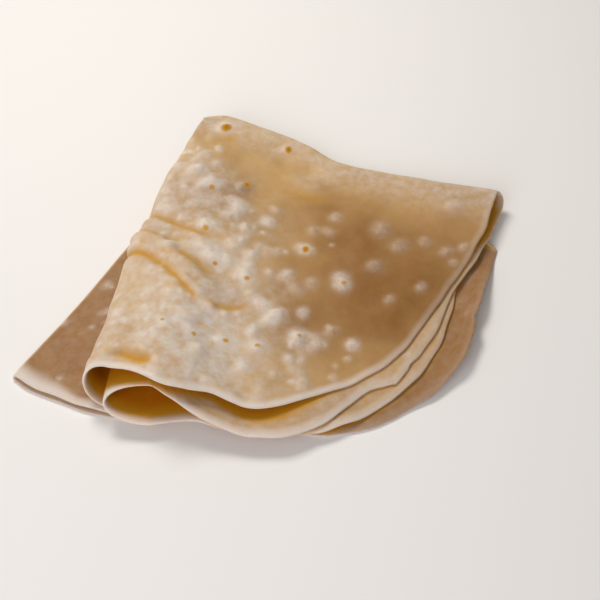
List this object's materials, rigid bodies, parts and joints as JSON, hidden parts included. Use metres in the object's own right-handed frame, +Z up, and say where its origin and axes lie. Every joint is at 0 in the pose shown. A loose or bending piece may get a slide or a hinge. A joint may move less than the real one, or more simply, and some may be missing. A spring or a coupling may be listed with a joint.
{
  "type": "rumali roti",
  "caption": "Large thin soft flatbread, folded in quarters and laid down, with a loose rolled fold along one side, a flap below it and layered curved edges.",
  "frame": {"origin": "middle of the footprint, on the flat underside", "axes": "+Z up; -Y towards the viewer, so the curved layered edges face -Y, the loose fold and the flap lie at -X, and the folded tip points to +Y"},
  "size_m": [0.2508, 0.2066, 0.0308],
  "materials": {
    "bread": "matte, soft baked dough with pale blisters and a few toasted spots"
  },
  "bodies": {
    "root": {"roti": "bread"}
  },
  "joints": []
}
